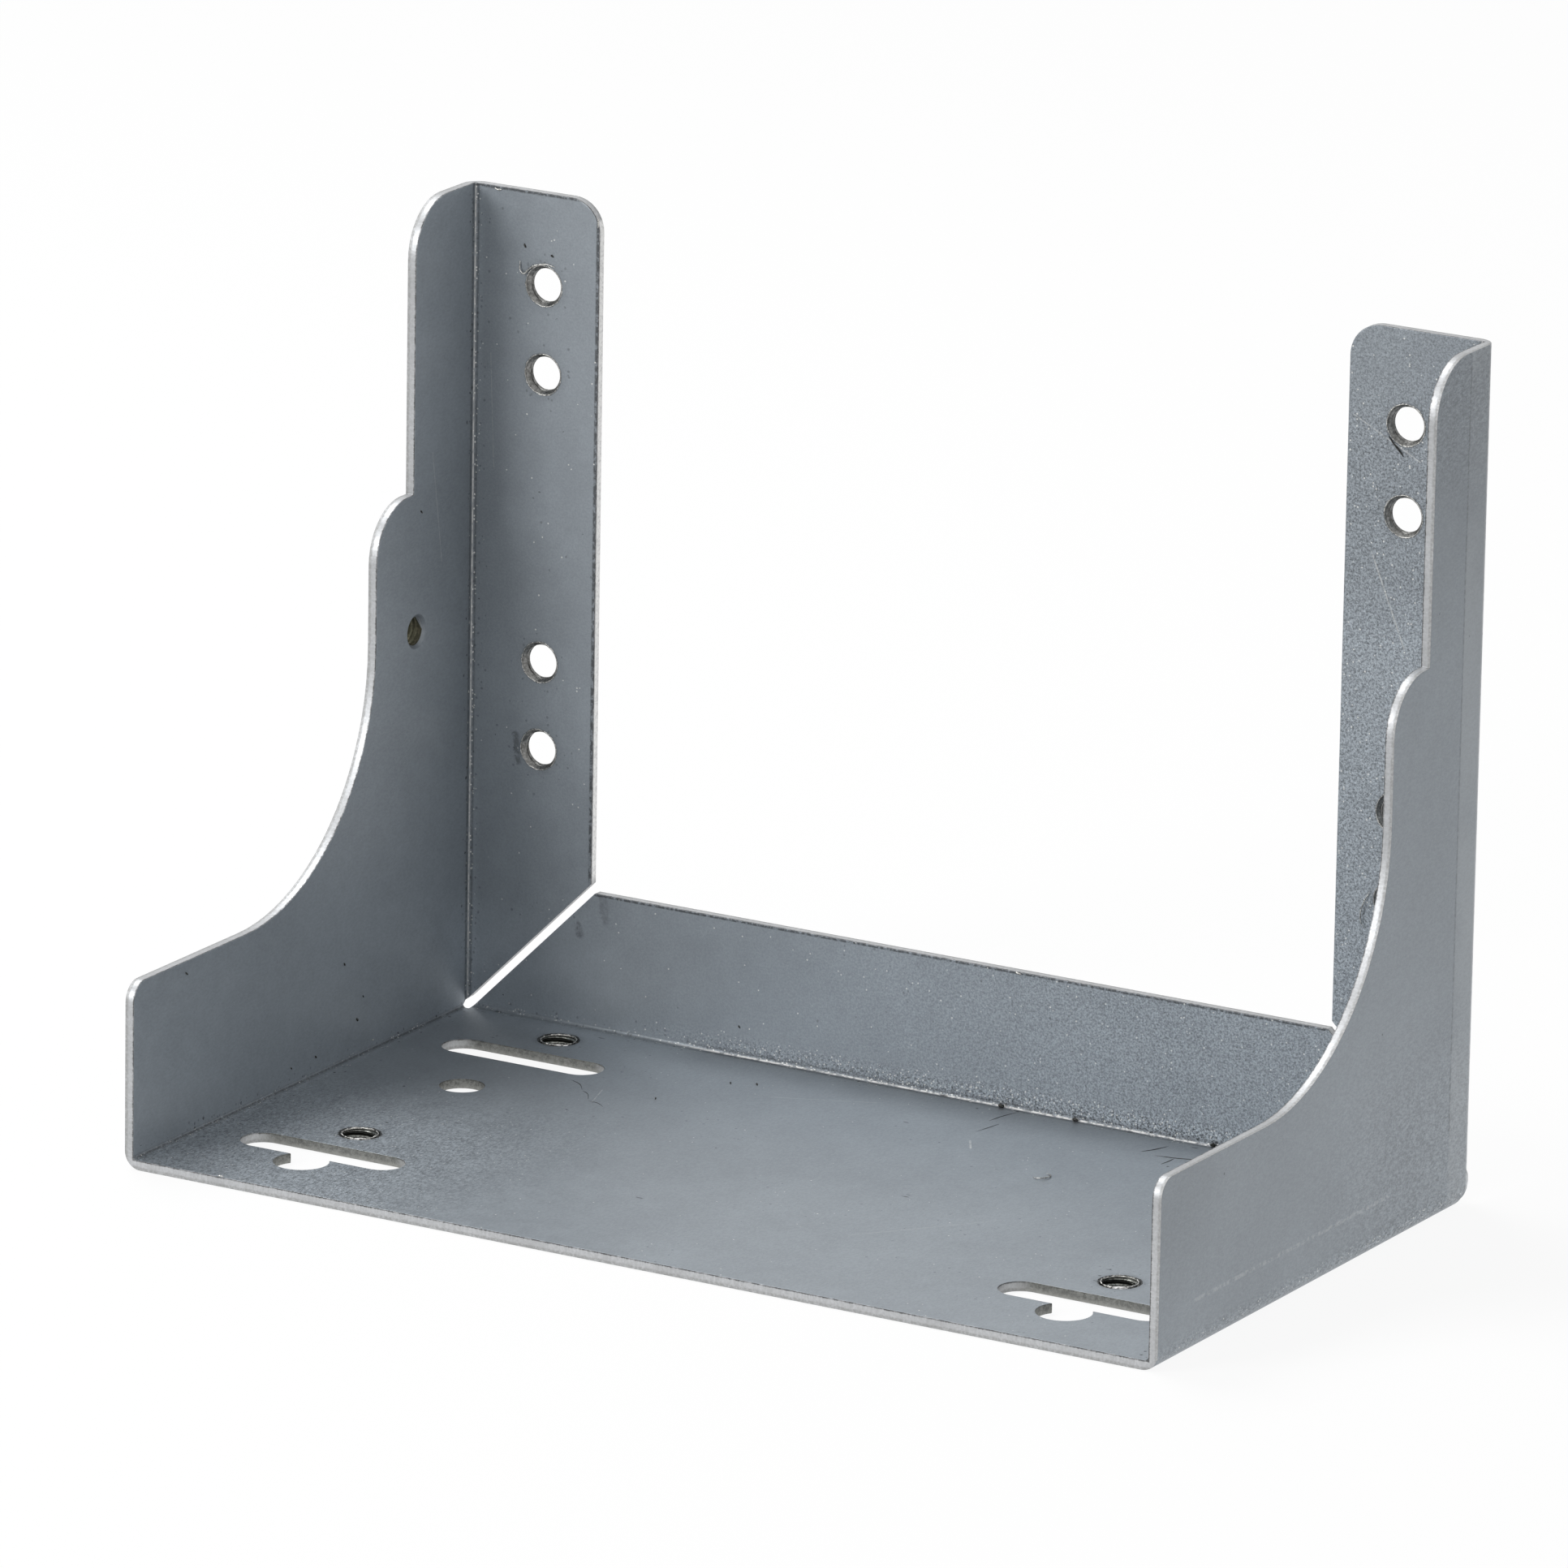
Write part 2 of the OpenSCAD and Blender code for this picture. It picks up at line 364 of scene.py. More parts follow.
    rear_fold_painted_highlight = times(tree, inside, ramp(tree, broken, 0.40, 0.56, 0.18, 1.0),
                        rear_right, ramp(tree, at_rear, 0.265, 0.33, 1.0, 0.0))
    colour = blend(tree, rear_fold_painted_highlight, colour, (0.66, 0.66, 0.65, 1.0))
    # A thin dark line along the tops of the rear flange and the left back flange, and down
    # the latter's free edge, is painted shade of the rollover that the shears left
    rear_top = times(
        tree, ramp(tree, z, 21.72, 21.92), ramp(tree, z, 22.22, 22.24, 1.0, 0.0),
        ramp(tree, x, -61.2, -60.6), ramp(tree, x, 60.6, 61.2, 1.0, 0.0))
    flange_side = times(tree, ramp(tree, x, -62.1, -61.8),
                        ramp(tree, z, 23.0, 25.0))
    flange_rim = times(
        tree, ramp(tree, x, -60.0, -61.0),
        highest(tree, ramp(tree, z, 125.45, 125.75), flange_side))
    rollover_shade_line = times(tree, on_back, inside, highest(tree, rear_top, flange_rim),
                       ramp(tree, broken, 0.36, 0.56, 0.15, 0.8))
    colour = blend(tree, rollover_shade_line, colour, (0.045, 0.046, 0.047, 1.0))

    # Pits and bright specks, more of both beside the folds and the threads
    beside = highest(tree, ramp(tree, at_hole, 3.2, 6.0, 0.75, 0.0),
                     times(tree, inside, ramp(tree, crease, 0.6, 3.2, 1.0, 0.0)))
    many = total(tree, times(
        tree, ramp(tree, cloud, 0.46, 0.64), ramp(tree, x, 82.4, 83.4, 0.20, 0.06)),
        times(tree, beside, 1.4))
    pit = cells(tree, place, 0.55, 0.16, times(tree, many, 0.55), ragged)
    pinhole = cells(tree, place, 1.4, 0.34, times(tree, many, 0.42), ragged)
    lying = node(tree, "ShaderNodeVectorMath", {0: place, 1: (0.3, 1.0, 0.7)},
                 operation="MULTIPLY").outputs[0]
    dash = cells(tree, lying, 0.75, 0.17, times(tree, many, 0.65), ragged)
    ring = times(tree, total(
        tree, ramp(tree, at_hole, 3.02, 3.30, 0.62, 0.0),
        times(tree, on_base, ramp(tree, at_hole, 3.1, 4.4, 0.30, 0.0)),
        times(tree, on_back, ramp(tree, at_hole, 3.1, 4.6, 0.14, 0.0))),
        ramp(tree, broken, 0.32, 0.55, 0.45, 1.0))
    pitted = highest(tree, pit, ring, times(tree, pinhole, 0.45),
                     times(tree, dash, 0.8))
    colour = blend(tree, times(tree, pitted, 0.72), colour,
                   (0.034, 0.035, 0.037, 1.0))
    # Along the outer bottom fold the pale specks also serve as a painted sheen on the fold
    bright_place = highest(
        tree, times(tree, inside, ramp(tree, crease, 0.5, 1.5, 0.8, 0.0)),
        outer_fold, times(tree, rear_band, 1.4))
    spark = cells(tree, place, 2.1, 0.30, total(
        tree, bright_place, times(tree, rough_part, 0.12)), ragged)
    colour = blend(tree, times(tree, spark, 0.8), colour,
                   (0.80, 0.80, 0.77, 1.0))

    # The lead-in of the left wall's thread is a little duller than the wall
    off_thread = distance(tree, calc(tree, "SUBTRACT", y, SIDE_THREAD_Y),
                          calc(tree, "SUBTRACT", z, SIDE_THREAD_Z))
    lead_in = times(tree, ramp(tree, x, -81.0, -82.0),
                    ramp(tree, off_thread, 2.54, 2.66, 0.36, 0.0))
    colour = blend(tree, lead_in, colour, (0.10, 0.11, 0.12, 1.0))

    # Handling marks
    for start, end, width, strength in SCRATCHES:
        mark = times(tree, streak(tree, place, start, end, width),
                     ramp(tree, broken, 0.3, 0.55), strength)
        colour = blend(tree, mark, colour, (0.70, 0.70, 0.68, 1.0))
    drift = times(tree, calc(tree, "SUBTRACT", broken, 0.5), 1.6)
    astray = node(tree, "ShaderNodeCombineXYZ", {
        0: total(tree, x, drift), 1: y, 2: z}).outputs[0]
    for start, end, width, strength in SMUDGES:
        mark = times(tree, streak(tree, astray, start, end, width),
                     ramp(tree, broken, 0.34, 0.58, 0.25, 1.0), strength)
        colour = blend(tree, mark, colour, (0.045, 0.044, 0.042, 1.0))
    # The folding die's shoulder left a line on the outside, beside each fold
    low_mark = times(tree, streak(tree, place, (SIDE, -36.0, 7.7),
                                  (SIDE, 20.0, 7.7), 0.45),
                     ramp(tree, broken, 0.40, 0.62), 0.26)
    colour = blend(tree, low_mark, colour, (0.62, 0.63, 0.64, 1.0))
    tall_mark = times(tree, streak(tree, place, (SIDE, 38.05, 12.0),
                                   (SIDE, 38.05, 124.0), 0.34),
                      ramp(tree, broken, 0.38, 0.62, 0.25, 1.0), 0.36)
    colour = blend(tree, tall_mark, colour, (0.06, 0.062, 0.065, 1.0))
    beyond = times(tree, ramp(tree, x, 83.0, 83.6), ramp(tree, y, 37.9, 38.3),
                   ramp(tree, cloud, 0.35, 0.6, 0.05, 0.14))
    colour = blend(tree, beyond, colour, (0.62, 0.63, 0.63, 1.0))
    # The outer face of the rear right fold is painted pale, a painted reflection of the
    # white surroundings
    outer_bend_painted_reflection = times(tree, ramp(tree, x, 81.8, 82.8), ramp(tree, y, 43.3, 44.2),
                       ramp(tree, broken, 0.3, 0.6, 0.2, 0.75))
    colour = blend(tree, outer_bend_painted_reflection, colour, (0.86, 0.87, 0.88, 1.0))

    dress(tree, shader, colour, 0.60, total(
        tree, 0.42, times(tree, mottle, 0.12), times(tree, pitted, 0.2)))
    emboss(tree, shader, times(tree, grain, total(
        tree, times(tree, rough_part, 0.045), 0.006)))
    return made


def sheared_edge():
    made, tree, shader, place = new_material("sheared_edge")
    x, y, z = axes(tree, place)
    depth = inner_faces(tree, place)[3]
    # The same place all through the sheet, so that marks run across it
    inner = node(tree, "ShaderNodeCombineXYZ", {
        0: highest(tree, SHEET - SIDE, lowest(tree, SIDE - SHEET, x)),
        1: lowest(tree, BACK - SHEET, y),
        2: highest(tree, SHEET, z)}).outputs[0]
    sheer = noise(tree, inner, 3.1, 3.0, 0.7)
    fine = noise(tree, place, 2.4, 3.0, 0.6)
    broad = noise(tree, inner, 0.16, 2.0)
    colour = blend(tree, ramp(tree, sheer, 0.3, 0.7),
                   (0.475, 0.485, 0.495, 1.0), (0.54, 0.55, 0.565, 1.0))
    colour = blend(tree, ramp(tree, fine, 0.35, 0.70, 0.0, 0.42), colour,
                   (0.34, 0.345, 0.35, 1.0))
    colour = blend(tree, ramp(tree, broad, 0.4, 0.65, 0.0, 0.28), colour,
                   (0.36, 0.365, 0.37, 1.0))
    # Burnished on the inner side and torn on the outer, with a dark line along the inner
    # face that is painted shade of the rollover
    wander = total(tree, depth, times(
        tree, calc(tree, "SUBTRACT", sheer, 0.5), 0.35))
    torn = ramp(tree, wander, 0.85, 1.15)
    colour = blend(tree, times(tree, torn, ramp(tree, fine, 0.3, 0.6, 0.15, 0.5)),
                   colour, (0.26, 0.26, 0.25, 1.0))
    lip = ramp(tree, wander, 0.10, 0.30, 1.0, 0.0)
    rollover_shade_noise = noise(tree, inner, 0.9, 3.0, 0.6)
    colour = blend(tree, times(tree, lip, ramp(tree, rollover_shade_noise, 0.3, 0.6, 0.45, 0.9)),
                   colour, (0.050, 0.051, 0.052, 1.0))
    # The left back flange's free edge is painted palest, as painted light where it faces
    # away from the lamps
    free_edge_painted_light = times(tree, ramp(tree, x, -62.0, -61.7), ramp(tree, x, -58.0, -60.0),
                      ramp(tree, z, 23.0, 25.0), ramp(tree, depth, 0.25, 0.45))
    colour = blend(tree, times(tree, free_edge_painted_light, ramp(tree, fine, 0.3, 0.6, 0.5, 1.0)),
                   colour, (0.90, 0.90, 0.89, 1.0))
    # The walls of the slots and plain holes are dull, paler at the slots' ends
    off_end = calc(tree, "ABSOLUTE", calc(
        tree, "SUBTRACT", calc(tree, "ABSOLUTE", x), COLUMN_X))
    in_base = times(tree, ramp(tree, z, 1.55, 1.65, 1.0, 0.0),
                    ramp(tree, calc(tree, "ABSOLUTE", x), 78.0, 79.0, 1.0, 0.0),
                    ramp(tree, y, -44.6, -44.0), ramp(tree, y, 42.0, 43.0, 1.0, 0.0))
    dull = times(tree, in_base, ramp(tree, off_end, 9.5, 13.0, 1.0, 0.15))
    speckle = noise(tree, place, 2.0, 3.0, 0.8)
    colour = blend(tree, times(tree, dull, 0.88), colour, blend(
        tree, ramp(tree, speckle, 0.3, 0.7),
        (0.070, 0.073, 0.064, 1.0), (0.220, 0.224, 0.208, 1.0)))
    # In the slots the torn lower part is paler than the upper
    colour = blend(tree, times(tree, dull, ramp(tree, z, 0.85, 0.05, 0.0, 0.55)),
                   colour, (0.42, 0.42, 0.40, 1.0))
    dress(tree, shader, colour, 0.8, total(
        tree, 0.41, times(tree, fine, 0.12), times(tree, torn, 0.12)))
    emboss(tree, shader, total(
        tree, times(tree, sheer, 0.016), times(tree, fine, 0.012)))
    return made


def cut_thread():
    made, tree, shader, place = new_material("cut_thread")
    x, y, z = axes(tree, place)
    fine = noise(tree, place, 2.4, 3.0, 0.6)
    colour = blend(tree, ramp(tree, fine, 0.3, 0.7),
                   (0.12, 0.12, 0.115, 1.0), (0.30, 0.30, 0.29, 1.0))
    # In the base the flanks are painted dark, as painted shade in the holes, and the
    # crests are painted pale as painted highlights
    off_axis = off_threads(tree, x, y, COLUMN_X, BASE_THREAD_Y)
    crest_painted_highlight = times(tree, ramp(tree, off_axis, 2.56, 2.76, 1.0, 0.0),
                  ramp(tree, fine, 0.35, 0.6, 0.3, 1.0))
    colour = blend(tree, ramp(tree, z, 2.0, 1.6), colour, blend(
        tree, crest_painted_highlight, (0.040, 0.042, 0.038, 1.0), (0.42, 0.43, 0.40, 1.0)))
    # In the left wall the bore is olive and dark, a stain with painted shade, all but its
    # upper rear, which is painted lit like the wall: a painted patch of light bounded by a
    # plane
    stain_and_shade = blend(tree, ramp(tree, fine, 0.45, 0.65),
                    (0.066, 0.066, 0.044, 1.0), (0.104, 0.096, 0.066, 1.0))
    out = node(tree, "ShaderNodeVectorMath", {
        0: place, 1: (SHEET - SIDE, SIDE_THREAD_Y, SIDE_THREAD_Z)},
        operation="SUBTRACT").outputs[0]
    upper_rear = (0.786, 0.637, 0.531)
    upper = node(tree, "ShaderNodeVectorMath", {0: out, 1: upper_rear},
                 operation="DOT_PRODUCT").outputs["Value"]
    painted_lit_patch = blend(tree, ramp(tree, fine, 0.3, 0.7),
                  (0.33, 0.355, 0.38, 1.0), (0.38, 0.41, 0.44, 1.0))
    colour = blend(tree, ramp(tree, x, -79.0, -81.0), colour,
                   blend(tree, ramp(tree, upper, 0.85, 1.0), stain_and_shade, painted_lit_patch))
    dress(tree, shader, colour, 0.9, ramp(tree, x, -79.0, -81.0, 0.30, 0.6))
    return made


def bright_burr():
    made, tree, shader, place = new_material("bright_burr")
    fine = noise(tree, place, 3.5, 3.0, 0.7)
    colour = blend(tree, ramp(tree, fine, 0.35, 0.65),
                   (0.22, 0.22, 0.21, 1.0), (0.72, 0.71, 0.68, 1.0))
    dress(tree, shader, colour, 0.85, ramp(tree, fine, 0.3, 0.7, 0.25, 0.5))
    return made


def dark_swarf_and_shade():
    made, tree, shader, place = new_material("dark_swarf_and_shade")
    fine = noise(tree, place, 4.0, 2.0, 0.7)
    colour = blend(tree, ramp(tree, fine, 0.35, 0.65),
                   (0.018, 0.018, 0.017, 1.0), (0.075, 0.074, 0.068, 1.0))
    dress(tree, shader, colour, 0.5, ramp(tree, fine, 0.3, 0.7, 0.4, 0.7))
    return made


# Mesh

# A thread: the place on its axis where the lead-in's mouth is, the direction
# down the hole, the bore's radius, the pitch and the length
Hole = namedtuple("Hole", "mouth down bore pitch length")


def hole_list():
    holes = []
    for x in (-COLUMN_X, COLUMN_X):
        for y in BASE_THREAD_Y:
            holes.append(Hole(Vector((x, y, SHEET)), Vector((0, 0, -1)),
                              M6_BORE_R, M6_PITCH, SHEET))
    for x in (-FLANGE_X, FLANGE_X):
        for z in FLANGE_Z:
            holes.append(Hole(Vector((x, BACK - SHEET, z)), Vector((0, 1, 0)),
                              M6_BORE_R, M6_PITCH, SHEET))
    holes.append(Hole(Vector((SHEET - SIDE, SIDE_THREAD_Y, SIDE_THREAD_Z)),
                      Vector((-1, 0, 0)), M5_BORE_R, M5_PITCH, SHEET + COLLAR))
    return holes


HOLES = hole_list()


def new_object(name, bm):
    """An object made from a bmesh, which is freed."""
    mesh = bpy.data.meshes.new(name)
    bm.to_mesh(mesh)
    bm.free()
    made = bpy.data.objects.new(name, mesh)
    bpy.context.scene.collection.objects.link(made)
    return made


def tap(bm, mouth, down, bore, pitch, length):
    """Adds a closed tap: a rod whose turns cut a 60 degree thread that runs
    out just before the far face."""
    around, along = 72, 14
    turns = length / pitch + 0.8
    steps = int(along * turns)
    deep = 0.54 * pitch
    inset = 0.03
    full_end, run_out = length - 0.06, 0.32
    frame_x = down.orthogonal().normalized()
    frame_y = down.cross(frame_x)
    rings = []
    for i in range(steps + 1):
        s = -0.4 * pitch + turns * pitch * i / steps
        left = min(1.0, max(0.0, (full_end - s) / run_out))
        if bore < M6_BORE_R:
            left = 0.45 * min(left, max(0.0, (s - M5_LEAD_IN) / 0.3))
        ring = []
        for j in range(around):
            turn = j / around
            phase = (s / pitch - turn) % 1.0
            tooth = max(0.0, 1.0 - abs(phase - 0.5) / 0.42)
            r = bore - inset + left * min(deep, 1.15 * deep * tooth)
            angle = 2 * math.pi * turn
            ring.append(bm.verts.new(
                (mouth + down * s + (frame_x * math.cos(angle)
                                     + frame_y * math.sin(angle)) * r) * MM))
        rings.append(ring)
    for low, high in zip(rings, rings[1:]):
        for j in range(around):
            k = (j + 1) % around
            bm.faces.new((low[j], low[k], high[k], high[j]))
    bm.faces.new(list(reversed(rings[0])))
    bm.faces.new(rings[-1])


def by_ear(vert):
    """Whether a vertex is one of an ear's or relief's, at a rear corner."""
    x, y, z = vert.co / MM
    return abs(x) > 80.5 and y > 38.5 and z < 7.5


def bracket_mesh():
    """A bmesh of the folded sheet with fine rounded edges, apart from those
    by the ears, where a rounding would fold over itself."""
    bm = bmesh.new()
    bm.from_mesh(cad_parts["bracket"].data)
    bmesh.ops.remove_doubles(bm, verts=bm.verts, dist=1e-6)
    bmesh.ops.dissolve_limit(bm, angle_limit=math.radians(0.2),
                             verts=bm.verts, edges=bm.edges)
    least_turn, radius = math.radians(38), 0.11 * MM
    sharp = [e for e in bm.edges
             if len(e.link_faces) == 2
             and e.calc_face_angle(0.0) > least_turn
             and not all(by_ear(v) for v in e.verts)]
    bmesh.ops.bevel(bm, geom=sharp, offset=radius, segments=2,
                    profile=0.5, affect="EDGES", clamp_overlap=False)
    for vert in bm.verts:
        keep_in_box(vert)
    bmesh.ops.triangulate(bm, faces=[f for f in bm.faces if len(f.verts) > 4])
    return bm


def keep_in_box(vert):
    for axis in range(3):
        vert.co[axis] = min(max(vert.co[axis], cad_box[0][axis]), cad_box[1][axis])


def make_bracket():
    """The sheet with the turns of its threads cut by a boolean."""
    sheet = new_object("bracket_sheet", bracket_mesh())
    bm = bmesh.new()
    for hole in HOLES:
        tap(bm, *hole)
    bmesh.ops.recalc_face_normals(bm, faces=bm.faces)
    taps = new_object("taps", bm)
    cut = sheet.modifiers.new("threads", "BOOLEAN")
    cut.operation = "DIFFERENCE"
    cut.solver = "MANIFOLD"
    cut.object = taps
    apply_modifiers(sheet)
    bpy.data.objects.remove(taps)
    return sheet


def apply_modifiers(obj):
    graph = bpy.context.evaluated_depsgraph_get()
    mesh = bpy.data.meshes.new_from_object(obj.evaluated_get(graph))
    obj.modifiers.clear()
    obj.data = mesh


def sort_faces(sheet):
    """Gives each face its material: 0 sheet, 1 sheared edge, 2 thread."""
    sheet.data.materials.clear()
    for made in (galvanised(), sheared_edge(), cut_thread()):
        sheet.data.materials.append(made)
    for face in sheet.data.polygons:
        p = face.center / MM
        n = face.normal
        across = abs(p.x) - (SIDE - SHEET)
        back = p.y - (BACK - SHEET)
        depth = max(across, back, SHEET - p.z)
        normal = n.x if depth == across else n.y if depth == back else n.z
        index = 0
        if abs(normal) < 0.45 and -0.02 < depth < SHEET + 0.02:
            index = 1
        for hole in HOLES:
            along = (p - hole.mouth).dot(hole.down)
            if not -0.2 < along < hole.length + 0.2:
                continue
            off_axis = (p - hole.mouth - hole.down * along).length
            if off_axis < hole.bore + 0.62 and abs(n.dot(hole.down)) < 0.97:
                lead_in = hole.bore < M6_BORE_R and along < M5_LEAD_IN - 0.02
                index = 0 if lead_in else 2
        face.material_index = index


def finish_mesh(obj, angle=32):
    mesh = obj.data
    mesh.shade_smooth()
    mesh.set_sharp_from_angle(angle=math.radians(angle))
    weigh = obj.modifiers.new("weigh", "WEIGHTED_NORMAL")
    weigh.keep_sharp = True
    apply_modifiers(obj)


def tube(bm, points, radii, closed=False):
    """Sweeps a ring of the given radii along points, all in millimetres."""
    sides = 6
    count = len(points)
    rings = []
    for i, point in enumerate(points):
        ahead = points[(i + 1) % count] if closed or i + 1 < count else point
        behind = points[i - 1] if closed or i > 0 else point
        way = (ahead - behind).normalized()
        side = way.cross(Vector((0.31, 0.52, 0.80))).normalized()
        rise = way.cross(side)
        rings.append([bm.verts.new(
            (point + (side * math.cos(2 * math.pi * j / sides)
                      + rise * math.sin(2 * math.pi * j / sides)) * radii[i]) * MM)
            for j in range(sides)])
    pairs = list(zip(rings, rings[1:])) + ([(rings[-1], rings[0])] if closed else [])
    for low, high in pairs:
        for j in range(sides):
            k = (j + 1) % sides
            bm.faces.new((low[j], low[k], high[k], high[j]))
    if not closed:
        bm.faces.new(rings[0])
        bm.faces.new(rings[-1])


def smooth_path(corners, steps=7):
    """A Catmull-Rom path through the corners."""
    ends = [2 * corners[0] - corners[1], *corners, 2 * corners[-1] - corners[-2]]
    path = []
    for a, b, c, d in zip(ends, ends[1:], ends[2:], ends[3:]):
        for k in range(steps):
            t = k / steps
            path.append(0.5 * (2 * b + (c - a) * t + (2 * a - 5 * b + 4 * c - d) * t * t
                               + (3 * b - a - 3 * c + d) * t ** 3))
    return path + [corners[-1]]


def burr_rim(bm, rng, mouth, down, radius, height, rise_by=0.1):
    """The ragged lip that a tap leaves round the mouth of a thread."""
    side = down.orthogonal().normalized()
    rise = down.cross(side)
    waves = [(k, rng.uniform(0, 2 * math.pi), rng.uniform(0.3, 1.0))
             for k in (2, 3, 5, 8, 13, 21, 34)]
    points, radii = [], []
    around = 110
    for j in range(around):
        turn = 2 * math.pi * j / around
        swell = sum(a * math.sin(k * turn + p) for k, p, a in waves) / 3.2
        r = radius + 0.05 * swell
        thick = height * min(1.0, max(0.22, 0.62 + 0.55 * swell))
        points.append(mouth + (side * math.cos(turn) + rise * math.sin(turn)) * r
                      - down * rise_by * thick)
        radii.append(thick)
    tube(bm, points, radii, closed=True)


# Loose and hanging swarf, as paths of places in millimetres with a thickness
SWARF = (
    (((-74.7, 44.1, 115.5), (-74.6, 43.9, 114.2), (-73.9, 43.9, 113.7),
      (-73.0, 44.0, 114.6), (-72.2, 44.1, 115.1), (-70.5, 44.15, 115.5),
      (-68.9, 44.15, 115.3)), 0.15),
    (((67.1, 44.15, 43.6), (66.5, 43.9, 42.4), (65.9, 43.8, 40.6),
      (65.9, 43.9, 39.0), (66.4, 44.0, 38.2)), 0.10),
    (((9.9, 44.3, 22.15), (10.3, 44.15, 22.0), (10.9, 44.2, 21.9)), 0.16),
    (((62.9, 44.3, 22.1), (63.4, 44.15, 21.9), (63.9, 44.2, 22.0)), 0.14),
    (((-79.2, 44.2, 125.7), (-78.6, 44.1, 125.5), (-78.0, 44.2, 125.6)), 0.12),
    (((-61.7, 44.3, 123.6), (-61.6, 44.15, 122.9), (-61.7, 44.2, 122.1)), 0.13),
    (((28.6, 17.3, 1.62), (29.6, 17.0, 1.72), (30.5, 18.0, 1.72),
      (30.3, 19.4, 1.66), (29.3, 19.9, 1.6)), 0.10),
    (((-82.47, 18.0, 2.9), (-82.44, 18.2, 2.9), (-82.47, 18.4, 2.8)), 0.11),
    (((-68.4, -45.55, 1.5), (-67.9, -45.5, 1.56), (-67.4, -45.55, 1.5)), 0.12),
)

# Dark flecks, in the same form: a whisker below a thread, lumps in the rear
# fold, crumbs, thin strokes on the base and small specks on the left wall
FLECKS = (
    (((68.0, 44.2, 110.3), (68.6, 44.1, 109.6), (69.4, 44.1, 108.8),
      (70.0, 44.1, 108.2), (70.4, 44.2, 107.6)), 0.12),
    (((7.8, 43.85, 1.75), (8.3, 43.65, 1.9), (8.8, 43.6, 1.75)), 0.30),
    (((20.0, 43.9, 1.75), (20.5, 43.7, 1.9), (21.0, 43.7, 1.75)), 0.28),
    (((42.6, 44.0, 1.8), (43.1, 43.8, 1.95), (43.5, 43.8, 1.8)), 0.28),
    (((-74.1, 44.22, 118.1), (-74.0, 44.2, 117.8), (-73.8, 44.22, 117.5)), 0.15),
    (((-69.6, 44.22, 117.0), (-69.4, 44.2, 116.9), (-69.1, 44.22, 116.7)), 0.15),
    (((-82.48, 30.0, 80.0), (-82.45, 30.2, 79.8), (-82.48, 30.5, 79.5)), 0.12),
    (((59.8, 44.22, 12.4), (60.2, 44.2, 12.7), (60.6, 44.22, 13.2)), 0.12),
    (((-50.5, 21.2, 1.5), (-48.3, 20.0, 1.52), (-46.7, 18.0, 1.5)), 0.05),
    (((-46.3, 17.5, 1.5), (-44.9, 16.6, 1.52), (-43.5, 14.4, 1.5)), 0.05),
    (((-43.2, 13.9, 1.5), (-41.4, 13.6, 1.52), (-39.9, 12.6, 1.5)), 0.04),
    (((-30.6, 32.9, 1.52), (-30.4, 32.5, 1.56), (-30.1, 32.1, 1.52)), 0.12),
    (((-27.2, 34.4, 1.52), (-26.9, 34.1, 1.56), (-26.6, 33.7, 1.52)), 0.13),
    (((-35.8, 20.5, 1.52), (-35.6, 20.1, 1.56), (-35.4, 19.7, 1.52)), 0.11),
    (((-36.1, 44.22, 6.3), (-36.0, 44.2, 6.1), (-35.8, 44.22, 5.9)), 0.12),
    (((9.9, 37.4, 1.5), (10.4, 40.2, 1.52), (11.2, 43.0, 1.5)), 0.05),
    (((10.9, 31.8, 1.5), (11.5, 34.6, 1.52), (11.9, 36.9, 1.5)), 0.04),
    (((35.3, 36.6, 1.5), (36.5, 38.5, 1.52), (37.4, 41.0, 1.5)), 0.06),
    (((37.9, 36.1, 1.5), (41.0, 36.6, 1.53), (44.2, 37.7, 1.5)), 0.06),
    (((40.6, 33.0, 1.5), (40.9, 34.8, 1.52), (40.9, 36.3, 1.5)), 0.06),
    (((-82.48, 13.6, 7.3), (-82.45, 13.8, 7.1), (-82.48, 14.0, 6.8)), 0.17),
    (((-82.48, 2.4, 4.5), (-82.45, 2.6, 4.3), (-82.48, 2.8, 4.1)), 0.14),
    (((-82.48, -32.3, 25.9), (-82.45, -32.0, 25.6), (-82.48, -31.7, 25.4)), 0.12),
    (((-82.48, 10.1, 16.6), (-82.45, 10.2, 16.4), (-82.48, 10.4, 16.1)), 0.12),
    (((-82.48, -4.2, 4.4), (-82.45, -4.0, 4.3), (-82.48, -3.9, 4.1)), 0.11),
    (((-82.48, 15.3, 10.4), (-82.45, 15.4, 10.2), (-82.48, 15.6, 10.0)), 0.10),
)


def lay(bm, rng, corners, thick):
    """A crumb or curl of swarf along a path, thin at both ends."""
    path = smooth_path([Vector(corner) for corner in corners])
    last = len(path) - 1
    tube(bm, path, [thick * (0.25 + 0.75 * math.sin(math.pi * i / last) ** 0.6)
                    * rng.uniform(0.8, 1.2) for i in range(last + 1)])


